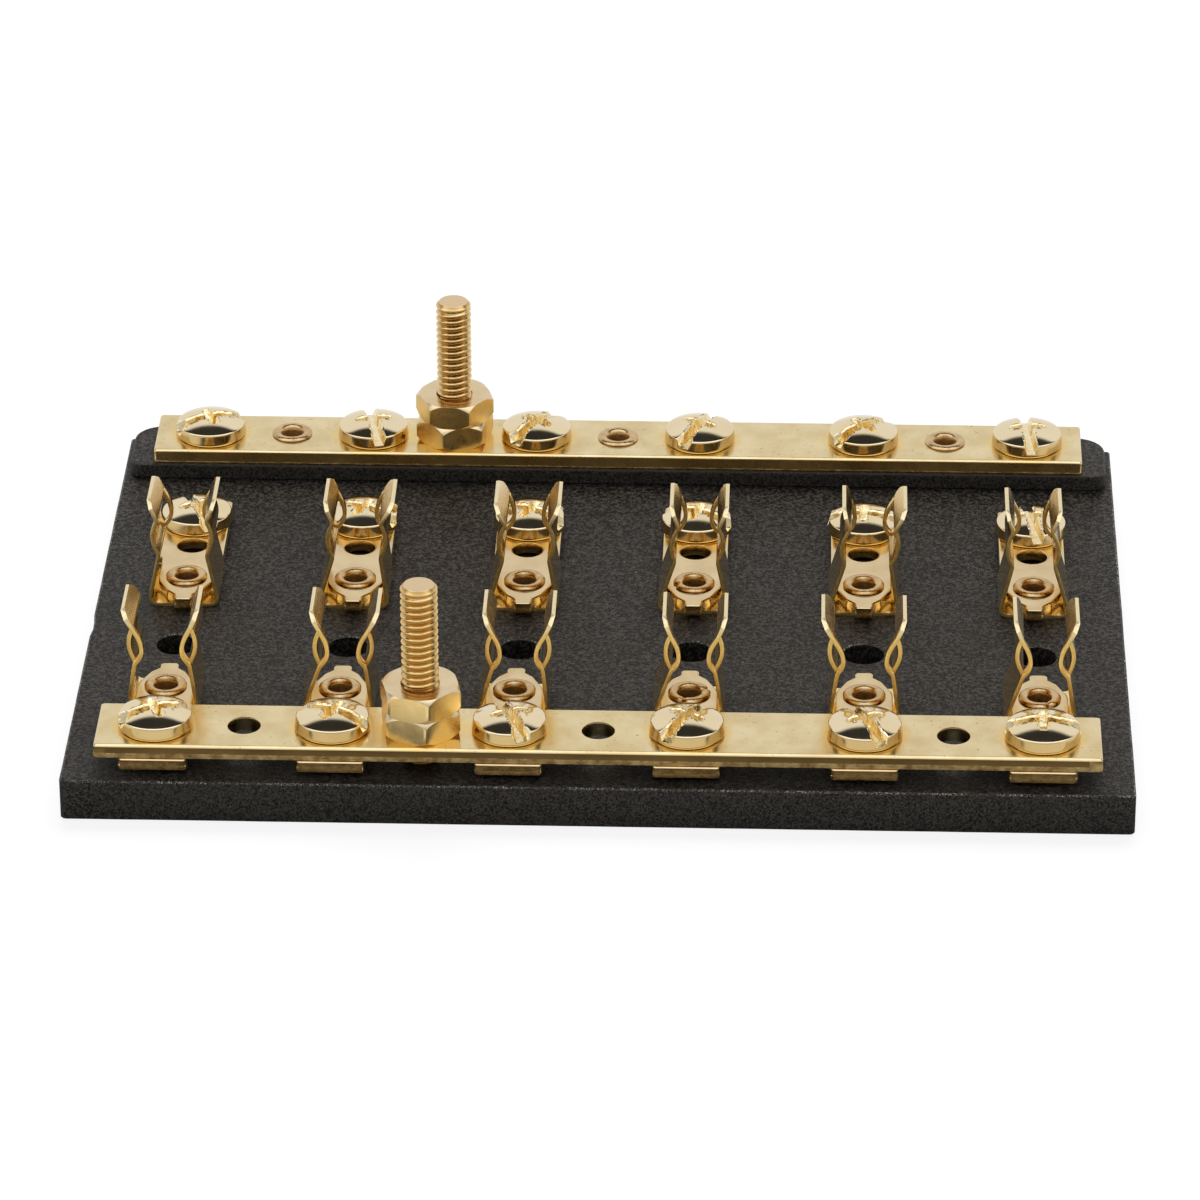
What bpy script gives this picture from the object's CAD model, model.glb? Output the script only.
import math

import bmesh
import bpy
from mathutils import Matrix, Vector, noise
from mathutils.geometry import tessellate_polygon


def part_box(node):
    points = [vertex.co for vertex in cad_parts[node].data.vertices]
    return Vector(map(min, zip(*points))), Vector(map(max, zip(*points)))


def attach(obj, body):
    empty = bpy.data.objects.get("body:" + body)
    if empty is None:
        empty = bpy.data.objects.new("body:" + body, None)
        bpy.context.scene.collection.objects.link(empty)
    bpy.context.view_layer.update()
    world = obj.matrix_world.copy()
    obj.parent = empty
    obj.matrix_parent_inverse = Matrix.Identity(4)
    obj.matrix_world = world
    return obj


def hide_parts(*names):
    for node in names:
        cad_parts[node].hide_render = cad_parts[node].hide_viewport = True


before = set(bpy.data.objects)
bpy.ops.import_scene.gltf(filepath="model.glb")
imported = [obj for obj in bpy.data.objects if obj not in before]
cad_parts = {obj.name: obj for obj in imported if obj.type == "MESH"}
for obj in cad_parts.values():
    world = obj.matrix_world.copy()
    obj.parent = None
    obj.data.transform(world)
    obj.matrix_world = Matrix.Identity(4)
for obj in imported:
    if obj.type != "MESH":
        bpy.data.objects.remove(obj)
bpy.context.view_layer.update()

# Shapes are written in millimetres and stored in metres
MM = 0.001
WAYS = range(1, 7)
BODY = "block"

# Points closer than this meet, and edges that turn by less than this many degrees are shaded smooth
MEET = 0.0005
SMOOTH = 32.0

# Camera of the photograph, which is a square of 1200 pixels
CAMERA_PLACE = (21.03, -638.74, 350.33)
CAMERA_TURN = (61.673, 0.114, 1.909)
FOCAL_PIXELS = 6478.7
IMAGE_PIXELS = 1200
SENSOR_WIDTH = 36.0

# Turn of each screw's slot and of each nut, in degrees from the bars' direction
FRONT_BAR_TURN = (22, -25, 112, 58, 115, 0)
REAR_BAR_TURN = (22, 103, 54, 63, 41, 96)
TERMINAL_TURN = (116, -25, -25, -20, -5, 100)
FRONT_NUT_TURN = (40, 44)
REAR_NUT_TURN = (16, -6)


def mm_box(node):
    """Lowest and highest corner of a node, in millimetres."""
    low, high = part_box(node)
    return low / MM, high / MM


def mm_middle(node):
    low, high = mm_box(node)
    return (low + high) / 2


# Places and levels, from the frame
BASE_LOW, BASE_HIGH = mm_box("base")
WAY_X = [mm_middle(f"front_strip_{i}").x for i in WAYS]
GAP_X = [(WAY_X[i] + WAY_X[i + 1]) / 2 for i in (0, 2, 4)]
STUD_X = mm_middle("front_stud").x
FRONT_BAR_TOP = mm_box("front_bus_bar")[1].z
REAR_BAR_LOW, REAR_BAR_HIGH = mm_box("rear_bus_bar")
FRONT_BAR_Y = mm_middle("front_bus_bar").y
REAR_BAR_Y = mm_middle("rear_bus_bar").y
FRONT_EYELET_Y = mm_middle("front_clip_1").y
REAR_EYELET_Y = mm_middle("rear_clip_1").y
BASE_HOLE_Y = (FRONT_EYELET_Y + REAR_EYELET_Y) / 2
TERMINAL_Y = mm_middle("terminal_screw_1").y
BASE_TOP = mm_box("front_clip_1")[0].z
LEDGE_TOP = REAR_BAR_LOW.z
STRIP_LOW, STRIP_HIGH = mm_box("front_strip_1")
STRIP_TOP = STRIP_HIGH.z
SHEET = STRIP_LOW.z - BASE_TOP
# Each row of clips: where its eyelets are, which way is outward and how far out its screws are
ROWS = {"front": (FRONT_EYELET_Y, -1, FRONT_EYELET_Y - FRONT_BAR_Y),
        "rear": (REAR_EYELET_Y, 1, TERMINAL_Y - REAR_EYELET_Y)}


class Shell:
    """Points and faces of one piece, with the number of a finish for each face."""

    def __init__(self):
        self.points = []
        self.faces = []
        self.finishes = []

    def ring(self, points):
        first = len(self.points)
        self.points.extend(Vector(p) for p in points)
        return list(range(first, len(self.points)))

    def face(self, corners, finish=0):
        self.faces.append(corners)
        self.finishes.append(finish)

    def band(self, low, high, finish=0):
        for i in range(len(low)):
            j = (i + 1) % len(low)
            self.face([low[i], low[j], high[j], high[i]], finish)

    def skin(self, rings, finishes=None):
        """Bands from each ring to the next, with a finish for each band."""
        for k, finish in enumerate(finishes or [0] * (len(rings) - 1)):
            self.band(rings[k], rings[k + 1], finish)

    def wrap(self, columns, marked):
        """Bands round an axis, from each column to the next, with finish 1 above the marked points."""
        for i, column in enumerate(columns):
            self.band(column, columns[(i + 1) % len(columns)])
            for k in marked:
                self.finishes[k - len(column)] = 1

    def cap(self, loops):
        """Fills the first loop, with the other loops as holes in it."""
        flat = [i for loop in loops for i in loop]
        outlines = [[self.points[i] for i in loop] for loop in loops]
        for corners in tessellate_polygon(outlines):
            self.face([flat[i] for i in corners])


def shade(mesh, smooth):
    """Smooth shading, apart from edges that turn by more than an angle in degrees."""
    mesh.polygons.foreach_set("use_smooth", [True] * len(mesh.polygons))
    mesh.set_sharp_from_angle(angle=math.radians(smooth))


def clean_mesh(mesh, bevel=0.0, bevel_angle=0.0, smooth=SMOOTH):
    """Joins points that meet and breaks the edges sharper than an angle by a small bevel."""
    work = bmesh.new()
    work.from_mesh(mesh)
    bmesh.ops.remove_doubles(work, verts=work.verts, dist=MEET * MM)
    bmesh.ops.recalc_face_normals(work, faces=work.faces)
    if bevel:
        limit = math.radians(bevel_angle)
        sharp = [e for e in work.edges if len(e.link_faces) == 2 and e.calc_face_angle() > limit]
        bmesh.ops.bevel(work, geom=sharp, offset=bevel * MM, segments=2, profile=0.5, affect="EDGES",
                        clamp_overlap=True)
    work.to_mesh(mesh)
    work.free()
    shade(mesh, smooth)


def mesh_of(name, shell, finishes, bevel=0.0, bevel_angle=0.0, smooth=SMOOTH):
    """Clean mesh of a shell with its finishes."""
    mesh = bpy.data.meshes.new(name)
    mesh.from_pydata([p * MM for p in shell.points], [], shell.faces)
    for finish in finishes:
        mesh.materials.append(finish)
    mesh.polygons.foreach_set("material_index", shell.finishes)
    clean_mesh(mesh, bevel, bevel_angle, smooth)
    return mesh


def put(name, data):
    """New object in the scene."""
    made = bpy.data.objects.new(name, data)
    bpy.context.scene.collection.objects.link(made)
    return made


def add_piece(name, mesh, body, slot, *nodes):
    """Puts a mesh in the scene as a piece that rides on a body and stands for CAD nodes."""
    piece = put(name, mesh)
    even = piece.modifiers.new("flat_faces_shade_flat", "WEIGHTED_NORMAL")
    even.keep_sharp = True
    even.weight = 90
    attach(piece, body)
    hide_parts(*nodes)


def cut_away(mesh, cutters):
    """Mesh with the cutters taken away from it; each cut has its cutter's finish."""
    solid = put("solid", mesh)
    tools = [put("tool", cutter) for cutter in cutters]
    for tool in tools:
        modifier = solid.modifiers.new("cut", "BOOLEAN")
        modifier.object = tool
        modifier.operation = "DIFFERENCE"
        modifier.solver = "EXACT"
        modifier.material_mode = "TRANSFER"
    view = bpy.context.evaluated_depsgraph_get()
    result = bpy.data.meshes.new_from_object(solid.evaluated_get(view))
    for used in (solid, *tools):
        bpy.data.objects.remove(used)
    return result


def wobble(place, size, seed):
    """Smooth repeatable noise between about -1 and 1, with bumps of the given size."""
    return noise.noise(Vector(place) / size + Vector((17.3, 5.1, 9.7)) * seed)


# Outlines

def turns_of(count):
    """Angles of equal steps round a circle."""
    return [2 * math.pi * i / count for i in range(count)]


def circle_points(x, y, radius, count=32):
    return [Vector((x + radius * math.cos(a), y + radius * math.sin(a))) for a in turns_of(count)]


def arc_points(x, y, radius, start, end, count):
    steps = [math.radians(start + (end - start) * i / count) for i in range(count + 1)]
    return [Vector((x + radius * math.cos(a), y + radius * math.sin(a))) for a in steps]


def rounded_box(low, high, front_r, back_r, count=6):
    """Outline of a rectangle, counter-clockwise from its front left corner."""
    return (arc_points(low.x + front_r, low.y + front_r, front_r, 180, 270, count)
            + arc_points(high.x - front_r, low.y + front_r, front_r, 270, 360, count)
            + arc_points(high.x - back_r, high.y - back_r, back_r, 0, 90, count)
            + arc_points(low.x + back_r, high.y - back_r, back_r, 90, 180, count))


def spaced(points, step):
    """The same closed outline with points no further apart than step."""
    out = []
    for i, p in enumerate(points):
        q = points[(i + 1) % len(points)]
        parts = max(1, math.ceil((q - p).length / step))
        out += [p.lerp(q, k / parts) for k in range(parts)]
    return out


def inset(points, distance):
    """A closed counter-clockwise outline moved inwards."""
    moved = []
    for i, p in enumerate(points):
        a = (p - points[i - 1]).normalized()
        b = (points[(i + 1) % len(points)] - p).normalized()
        inward = Vector((-a.y - b.y, a.x + b.x)).normalized()
        share = max(0.5, inward.dot(Vector((-a.y, a.x))))
        moved.append(p + inward * distance / share)
    return moved


def fillet(points, radii, count=5):
    """Rounds the corners of a closed outline, each with its own radius."""
    out = []
    for i, p in enumerate(points):
        radius = radii[i]
        if not radius:
            out.append(p)
            continue
        a = (points[i - 1] - p).normalized()
        b = (points[(i + 1) % len(points)] - p).normalized()
        half = a.angle(b) / 2
        reach = radius / math.tan(half)
        start, end = p + a * reach, p + b * reach
        centre = p + (a + b).normalized() * radius / math.sin(half)
        for k in range(count + 1):
            ray = (start - centre).lerp(end - centre, k / count)
            out.append(centre + ray.normalized() * radius)
    return out


def level(points, z):
    return [Vector((p.x, p.y, z)) for p in points]


# Materials

def opaque(tone):
    """A colour with full alpha, or a socket as it is."""
    return tone if isinstance(tone, bpy.types.NodeSocket) else (*tone, 1.0)


class Nodes:
    """Nodes of a material or a world."""

    def __init__(self, owner):
        owner.use_nodes = True
        self.tree = owner.node_tree
        self.tree.nodes.clear()

    def node(self, kind, inputs=(), **settings):
        """New node; each input is given a value, or is linked to a socket."""
        made = self.tree.nodes.new(kind)
        for key, value in settings.items():
            setattr(made, key, value)
        for key, value in dict(inputs).items():
            if isinstance(value, bpy.types.NodeSocket):
                self.tree.links.new(value, made.inputs[key])
            else:
                made.inputs[key].default_value = value
        return made

    def axes(self, kind):
        """X, Y and Z of a place, in metres."""
        place = self.node("ShaderNodeTexCoord").outputs[kind]
        return self.node("ShaderNodeSeparateXYZ", {0: place}).outputs

    def between(self, value, low, high, to_low=0.0, to_high=1.0):
        """A value moved from one range to another."""
        made = self.node("ShaderNodeMapRange", {"Value": value, "From Min": low, "From Max": high,
                                                "To Min": to_low, "To Max": to_high})
        return made.outputs["Result"]

    def math(self, operation, a, b=0.0, clamp=False):
        return self.node("ShaderNodeMath", {0: a, 1: b}, operation=operation, use_clamp=clamp).outputs[0]

    def mix(self, share, a, b):
        """From tone a to tone b, by a share."""
        inputs = {0: share, 6: opaque(a), 7: opaque(b)}
        return self.node("ShaderNodeMix", inputs, data_type="RGBA").outputs[2]


class Finish(Nodes):
    """A procedural material. Pattern sizes are in millimetres."""

    def __init__(self, name):
        self.material = bpy.data.materials.new(name)
        super().__init__(self.material)
        self.place = self.node("ShaderNodeTexCoord").outputs["Object"]

    def grain(self, size, detail=2.0, stretch=(1, 1, 1), rough=0.5):
        """Noise with spots of the given size."""
        scaled = self.node("ShaderNodeMapping", {"Vector": self.place, "Scale": [1 / s for s in stretch]})
        made = self.node("ShaderNodeTexNoise", {"Vector": scaled.outputs[0], "Scale": 1 / (size * MM),
                                                "Detail": detail, "Roughness": rough})
        return made.outputs["Fac"]

    def reach(self, x, y, pitch):
        """Millimetres from an upright axis, or from the nearest of a row of axes a pitch apart."""
        parts = self.axes("Object")
        dx = self.math("SUBTRACT", self.math("DIVIDE", parts["X"], MM), x)
        dy = self.math("SUBTRACT", self.math("DIVIDE", parts["Y"], MM), y)
        if pitch:
            turns = self.math("FRACT", self.math("ADD", self.math("DIVIDE", dx, pitch), 0.5))
            dx = self.math("MULTIPLY", self.math("SUBTRACT", turns, 0.5), pitch)
        squares = [self.math("MULTIPLY", d, d) for d in (dx, dy)]
        return self.math("SQRT", self.math("ADD", *squares))

    def height(self):
        return self.math("DIVIDE", self.axes("Object")["Z"], MM)

    def bump(self, height, depth):
        inputs = {"Height": height, "Distance": depth * MM, "Strength": 1.0}
        return self.node("ShaderNodeBump", inputs).outputs[0]

    def done(self, **inputs):
        """The material, with the inputs of its shader."""
        named = {key.replace("_", " "): value for key, value in inputs.items()}
        shader = self.node("ShaderNodeBsdfPrincipled", named)
        self.node("ShaderNodeOutputMaterial", {"Surface": shader.outputs[0]})
        return self.material


def brass(name, tone, shade, rough, grain=0.12, depth=0.004, stretch=(1, 1, 1), patch=6.0, specks=0.0,
          rings=(), ring_tone=None, bands=()):
    """Brass with cloudy tone, fine grain and, where wanted, small dark specks.

    Each ring (x, y, pitch, full, none) tints the brass round an axis, and each band (none, full, tone)
    at a height.
    """
    f = Finish(name)
    cloud = f.between(f.grain(patch, 4.0), 0.35, 0.7)
    fine = f.grain(grain, 3.0, stretch)
    colour = f.mix(cloud, tone, shade)
    roughness = f.between(f.grain(patch / 3, 3.0), 0.3, 0.7, rough * 0.8, rough * 1.25)
    if specks:
        dots = f.between(f.grain(0.4, 2.0), 0.69, 0.74)
        dots = f.math("MULTIPLY", dots, specks)
        colour = f.mix(dots, colour, [c * 0.35 for c in shade])
    for x, y, pitch, full, none in rings:
        colour = f.mix(f.between(f.reach(x, y, pitch), none, full), colour, ring_tone)
    for none, full, band_tone in bands:
        colour = f.mix(f.between(f.height(), none, full), colour, band_tone)
    return f.done(Base_Color=colour, Metallic=1.0, Roughness=roughness, Normal=f.bump(fine, depth))


def phenolic(name, spot, salt_low, salt_tone, worn=0.0):
    """Moulded charcoal phenolic: fine grain, a few pale flecks and, on edges, pale wear."""
    f = Finish(name)
    cloud = f.between(f.grain(9.0, 5.0), 0.3, 0.75)
    fine = f.grain(0.2, 3.0)
    salt = f.between(f.grain(spot, 3.0, rough=0.75), salt_low, 0.62)
    colour = f.mix(cloud, (0.0010, 0.0008, 0.0006), (0.0045, 0.0038, 0.0030))
    colour = f.mix(salt, colour, salt_tone)
    flecks = f.between(f.grain(0.32, 0.0), 0.90, 0.915)
    colour = f.mix(flecks, colour, (0.18, 0.17, 0.16))
    if worn:
        chips = f.between(f.grain(0.16, 2.0), 0.50, 0.66, 0.0, worn)
        gate = f.between(f.grain(4.0, 3.0), 0.36, 0.62, 0.25, 1.0)
        colour = f.mix(f.math("MULTIPLY", chips, gate), colour, (0.32, 0.31, 0.29))
    roughness = f.between(fine, 0.3, 0.7, 0.3, 0.62)
    normal = f.bump(fine, 0.115)
    return f.done(Base_Color=colour, Roughness=roughness, Specular_IOR_Level=0.25, Normal=normal,
                  Specular_Tint=(1.0, 0.945, 0.88, 1.0))


PHENOLIC = phenolic("phenolic", 0.42, 0.45, (0.041, 0.036, 0.031))
PHENOLIC_SIDE = phenolic("phenolic_side", 0.2, 0.40, (0.050, 0.0455, 0.040))
WORN_PHENOLIC = phenolic("worn_phenolic", 0.2, 0.40, (0.036, 0.0325, 0.0285), 0.9)
PITCH_X = WAY_X[1] - WAY_X[0]
HEAD_RINGS = tuple((WAY_X[0], y, PITCH_X, 3.9, 5.1) for y in (FRONT_BAR_Y, REAR_BAR_Y))
NUT_RINGS = tuple((STUD_X, y, 0, 4.0, 5.6) for y in (FRONT_BAR_Y, REAR_BAR_Y))
BAR = brass("bar_brass", (0.87, 0.72, 0.43), (0.74, 0.57, 0.29), 0.2, stretch=(12, 1, 1), patch=4.0,
            specks=0.7, rings=HEAD_RINGS + NUT_RINGS, ring_tone=(0.87, 0.62, 0.22))
UPRIGHT = (1, 1, 6)
FRONT_SHEAR = brass("front_sheared_edge", (0.25, 0.155, 0.052), (0.17, 0.105, 0.033), 0.28, stretch=UPRIGHT)
REAR_SHEAR = brass("rear_sheared_edge", (0.80, 0.54, 0.20), (0.62, 0.39, 0.13), 0.28, stretch=UPRIGHT)
BAR_BREAK = brass("bar_broken_edge", (0.66, 0.47, 0.20), (0.28, 0.17, 0.057), 0.42, 0.2, 0.06, patch=1.0)
STRIP = brass("strip_brass", (0.80, 0.63, 0.37), (0.70, 0.53, 0.29), 0.17, patch=3.0,
              rings=((WAY_X[0], TERMINAL_Y, PITCH_X, 3.9, 6.2),), ring_tone=(0.88, 0.61, 0.20))
STRIP_EDGE = brass("strip_edge", (0.94, 0.72, 0.34), (0.86, 0.62, 0.26), 0.2, 0.2, 0.02, patch=1.5)
STRIP_END = brass("strip_end", (0.29, 0.185, 0.067), (0.175, 0.105, 0.034), 0.4, 0.2, 0.06, patch=0.6)
CLIP_FOOT = (BASE_TOP + 4.5, BASE_TOP + 0.6)
CLIP_TIPS = (BASE_TOP + 10.4, BASE_TOP + 12.3)
CLIP = brass("clip_brass", (0.92, 0.68, 0.30), (0.87, 0.61, 0.25), 0.16,
             bands=((*CLIP_FOOT, (0.96, 0.77, 0.40)), (*CLIP_TIPS, (0.87, 0.70, 0.41))))
CLIP_EDGE = brass("clip_edge", (1.0, 0.74, 0.27), (0.92, 0.64, 0.2), 0.4, 0.1, 0.006, patch=1.0,
                  bands=((*CLIP_FOOT, (1.0, 0.72, 0.26)), (*CLIP_TIPS, (0.98, 0.83, 0.52))))
EYELET = brass("eyelet_brass", (0.74, 0.53, 0.28), (0.55, 0.37, 0.18), 0.22, 0.2, 0.02, patch=0.8)
EYELET_BORE = brass("eyelet_bore", (1.0, 0.76, 0.40), (0.88, 0.60, 0.28), 0.36, 0.2, 0.05, patch=0.8)
SCREW = brass("screw_brass", (0.91, 0.77, 0.52), (0.87, 0.71, 0.44), 0.09, depth=0.002)
SCREW_RIM = brass("screw_rim", (0.76, 0.56, 0.25), (0.68, 0.47, 0.19), 0.13, depth=0.002)
SCREW_SLOT = brass("screw_slot", (1.0, 0.88, 0.60), (0.93, 0.745, 0.42), 0.1, 0.4, 0.07, patch=0.6)
THREAD_ROOT = (0.52, 0.28, 0.07)
STUD_TOP = mm_box("front_stud")[1].z
STUD_END = ((STUD_TOP - 0.08, STUD_TOP - 0.02, (0.80, 0.60, 0.36)),)
FRONT_STUD = brass("front_stud_brass", (0.89, 0.66, 0.30), (0.82, 0.57, 0.24), 0.2, patch=2.0,
                   rings=((STUD_X, FRONT_BAR_Y, 0, 1.66, 1.97),), ring_tone=THREAD_ROOT, bands=STUD_END)
REAR_STUD = brass("rear_stud_brass", (0.92, 0.70, 0.35), (0.86, 0.62, 0.28), 0.2, patch=2.0,
                  rings=((STUD_X, REAR_BAR_Y, 0, 1.66, 1.97),), ring_tone=THREAD_ROOT, bands=STUD_END)
NUT = brass("nut_brass", (0.84, 0.67, 0.43), (0.76, 0.58, 0.34), 0.2, patch=3.0)
NUT_FACE = brass("nut_face", (1.0, 0.73, 0.31), (0.92, 0.64, 0.24), 0.22, patch=3.0)
REAR_NUT_FACE = brass("rear_nut_face", (1.0, 0.74, 0.31), (0.9, 0.63, 0.23), 0.32, patch=3.0)


# Base

BASE_STEP = 1.6
BASE_ROUGH = 0.05
NOTCH_PLACE = Vector((BASE_LOW.x, -5.6))
NOTCH_REACH = 1.5
NOTCH_DEPTH = 0.4
BASE_FRONT_R = 0.6
BASE_REAR_R = 0.4
EDGE_BREAK = 0.16
LEDGE_INSET = 0.75
LEDGE_LIP = 0.6
LEDGE_FRONT_R = 1.4
LEDGE_REAR_R = 3.4
LEDGE_EDGE = 0.3
LEDGE_FOOT = 0.26
BASE_HOLE_R = 2.3
BARREL_HOLE_R = 1.6
STUD_HOLE_R = 2.1
FLANGE_POCKET_R = 2.75
FLANGE_POCKET = 0.85
HEAD_POCKET_R = 4.0
HEAD_POCKET = 2.2
PIT_R = 2.45
PIT_FLOOR = 1.1
# Radius and depth of a pocket in the underside, and radius of the hole above it
EYELET_POCKET = (FLANGE_POCKET_R, FLANGE_POCKET, BARREL_HOLE_R)
STUD_POCKET = (HEAD_POCKET_R, HEAD_POCKET, STUD_HOLE_R)


def base_outline():
    """Outline of the base, a little uneven, with a small notch in its left edge."""
    plain = spaced(rounded_box(BASE_LOW, BASE_HIGH, BASE_FRONT_R, BASE_REAR_R), BASE_STEP)
    away = inset(plain, 1.0)
    out = []
    for p, q in zip(plain, away):
        depth = BASE_ROUGH * (0.5 + 0.5 * wobble((p.x, p.y, 0), 4.0, 1))
        near = (p - NOTCH_PLACE).length
        if near < NOTCH_REACH:
            depth += NOTCH_DEPTH * (1 - near / NOTCH_REACH)
        out.append(p + (q - p) * depth)
    return out


def bored(shell, stations, x, y, starts, ends, rim=0):
    """Wall of a hole from stations (radius, z), with a finish for its last band; two lists take its ends."""
    rings = [shell.ring(level(circle_points(x, y, r), z)) for r, z in stations]
    shell.skin(rings, [0] * (len(rings) - 2) + [rim])
    starts.append(rings[0])
    ends.append(rings[-1])


def add_pit(shell, x, y, z, top):
    """Blind hole for a screw."""
    floor = []
    bored(shell, ((PIT_R, z), (PIT_R, PIT_FLOOR)), x, y, top, floor)
    shell.cap(floor)


def stepped(pocket, top):
    """Stations of a hole above a pocket."""
    wide, deep, narrow = pocket
    return ((wide, 0), (wide, deep), (narrow, deep), (narrow, top))


def build_base():
    """Base with its ledge. Finishes: 0 faces and bores, 1 worn edges, 2 sides."""
    shell = Shell()
    outline = base_outline()
    profile = ((EDGE_BREAK, 0), (0, EDGE_BREAK), (0, BASE_TOP - EDGE_BREAK),
               (EDGE_BREAK / 2, BASE_TOP - EDGE_BREAK / 4), (EDGE_BREAK * 1.4, BASE_TOP))
    rings = [shell.ring(level(inset(outline, d), z)) for d, z in profile]
    shell.skin(rings, (1, 2, 1, 1))
    bottom, top = [rings[0]], [rings[-1]]
    open_hole = ((BASE_HOLE_R, 0), (BASE_HOLE_R, BASE_TOP - EDGE_BREAK),
                 (BASE_HOLE_R + EDGE_BREAK, BASE_TOP))
    for x in WAY_X:
        bored(shell, open_hole, x, BASE_HOLE_Y, bottom, top, 1)
        for y in (FRONT_EYELET_Y, REAR_EYELET_Y):
            bored(shell, stepped(EYELET_POCKET, BASE_TOP), x, y, bottom, top)
    bored(shell, stepped(STUD_POCKET, BASE_TOP), STUD_X, FRONT_BAR_Y, bottom, top)
    for x in WAY_X:
        for y in (FRONT_BAR_Y, TERMINAL_Y):
            add_pit(shell, x, y, BASE_TOP, top)
    ledge_low = Vector((BASE_LOW.x + LEDGE_INSET, REAR_BAR_LOW.y - LEDGE_LIP))
    ledge_high = Vector((BASE_HIGH.x - LEDGE_INSET, BASE_HIGH.y - BASE_ROUGH))
    ledge = spaced(rounded_box(ledge_low, ledge_high, LEDGE_FRONT_R, LEDGE_REAR_R), BASE_STEP)
    steps = ((LEDGE_FOOT, BASE_TOP), (0, BASE_TOP + LEDGE_FOOT / 2), (0, LEDGE_TOP - LEDGE_EDGE),
             (LEDGE_EDGE * 0.3, LEDGE_TOP - LEDGE_EDGE * 0.3), (LEDGE_EDGE, LEDGE_TOP))
    ledge_rings = [shell.ring(level(inset(ledge, d), z)) for d, z in steps]
    shell.skin(ledge_rings, [2] * (len(steps) - 1))
    top.append(ledge_rings[0])
    ledge_top = [ledge_rings[-1]]
    # Holes under the rear bar go on through the ledge
    for x in (*GAP_X, STUD_X):
        pocket = STUD_POCKET if x == STUD_X else EYELET_POCKET
        bored(shell, stepped(pocket, LEDGE_TOP), x, REAR_BAR_Y, bottom, ledge_top)
    for x in WAY_X:
        add_pit(shell, x, REAR_BAR_Y, LEDGE_TOP, ledge_top)
    for loops in (bottom, top, ledge_top):
        shell.cap(loops)
    mesh = mesh_of("base_block", shell, (PHENOLIC, WORN_PHENOLIC, PHENOLIC_SIDE))
    add_piece("base_block", mesh, BODY, "phenolic", "base")


# Bus bars and terminal strips, with their sheared edges

BAR_CORNER_R = 0.35
BAR_STEP = 1.1
BREAK_WAVE = 0.07
BAR_ROLL_R = 0.27
STRIP_ROLL_R = 0.12
ROUGH_END = 1.8
# Steps of a rolled edge, across and down, as shares of its size
ROLLED_EDGE = ((0.1, 0.6), (0.85, 0.08), (1.0, 0.0))
# Finishes of a plate's edge from its foot up: broken, sheared and rolled
EDGE_FINISHES = (2, 2, 2, 1, 1, 0, 0, 0, 0)
EDGE_ROUGH = 0.02
FOOT_BREAK = 0.05
SHEAR_STEP = 0.03
HOLE_EDGE = 0.16
FLAT_RIM = 0.08
FRONT_BROKEN = 0.36
REAR_BROKEN = 0.12
STRIP_BROKEN = 0.4
SCREW_HOLE_R = 2.1
OPEN_HOLE_R = 1.75


def sheared_plate(shell, outline, low, high, holes, broken, roll_r, seed):
    """Plate with a rolled upper edge, a smooth sheared band and a rough broken band below it.

    Finishes: 0 faces and rolled edge, 1 sheared band, 2 broken band.
    """
    middle = low + (high - low) * broken

    def wavy(points, z):
        return [Vector((p.x, p.y, z + BREAK_WAVE * wobble((p.x, p.y, z), 0.9, seed))) for p in points]

    rough = [p + (q - p) * EDGE_ROUGH * wobble((p.x, p.y, 3), 0.8, seed)
             for p, q in zip(outline, inset(outline, 1.0))]
    sheared = inset(outline, SHEAR_STEP)
    loops = [level(inset(rough, FOOT_BREAK), low), level(rough, low + FOOT_BREAK),
             wavy(rough, middle - SHEAR_STEP), wavy(sheared, middle + SHEAR_STEP),
             level(sheared, high - roll_r - FLAT_RIM / 2), level(sheared, high - roll_r)]
    for across, down in ROLLED_EDGE:
        loops.append(level(inset(outline, SHEAR_STEP + roll_r * across), high - roll_r * down))
    # A narrow flat rim keeps the shading of the rounded edges off the large faces
    loops.append(level(inset(outline, SHEAR_STEP + roll_r + FLAT_RIM), high))
    rings = [shell.ring(points) for points in loops]
    shell.skin(rings, EDGE_FINISHES)
    bottom, top = [rings[0]], [rings[-1]]
    for x, y, radius in holes:
        stations = ((radius, low), (radius, high - HOLE_EDGE),
                    (radius + HOLE_EDGE * 0.3, high - HOLE_EDGE * 0.3),
                    (radius + HOLE_EDGE, high), (radius + HOLE_EDGE + FLAT_RIM, high))
        bored(shell, stations, x, y, bottom, top)
    shell.cap(bottom)
    shell.cap(top)


def build_bar(name, gap_hole_r, broken, rough_end, shear, seed):
    """Bus bar, whose right end is broken over the full height for a length."""
    shell = Shell()
    low, high = mm_box(name)
    y = (low.y + high.y) / 2
    outline = spaced(rounded_box(low, high, BAR_CORNER_R, BAR_CORNER_R, 4), BAR_STEP)
    holes = [(x, y, SCREW_HOLE_R) for x in (*WAY_X, STUD_X)] + [(x, y, gap_hole_r) for x in GAP_X]
    sheared_plate(shell, outline, low.z, high.z, holes, broken, BAR_ROLL_R, seed)
    for number, corners in enumerate(shell.faces):
        if shell.finishes[number] == 1 and min(shell.points[i].x for i in corners) > high.x - rough_end:
            shell.finishes[number] = 2
    mesh = mesh_of(name + "_dressed", shell, (BAR, shear, BAR_BREAK))
    add_piece(name + "_dressed", mesh, BODY, "bar_brass", name)


STRIP_W = 7.4
TONGUE_W = 6.3
NUB_W = 2.0
NUB_REACH = 5.3
NUB_ROOT = 4.25
SHOULDER_W = 3.9
SHOULDER_REACH = 3.3
STEP_Y = 4.47
STRIP_TAIL = 5.0
SPARE_REACH = 7.55
SPARE_R = 1.7
STRIP_STEP = 0.8
END_REACH = 0.1


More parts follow.
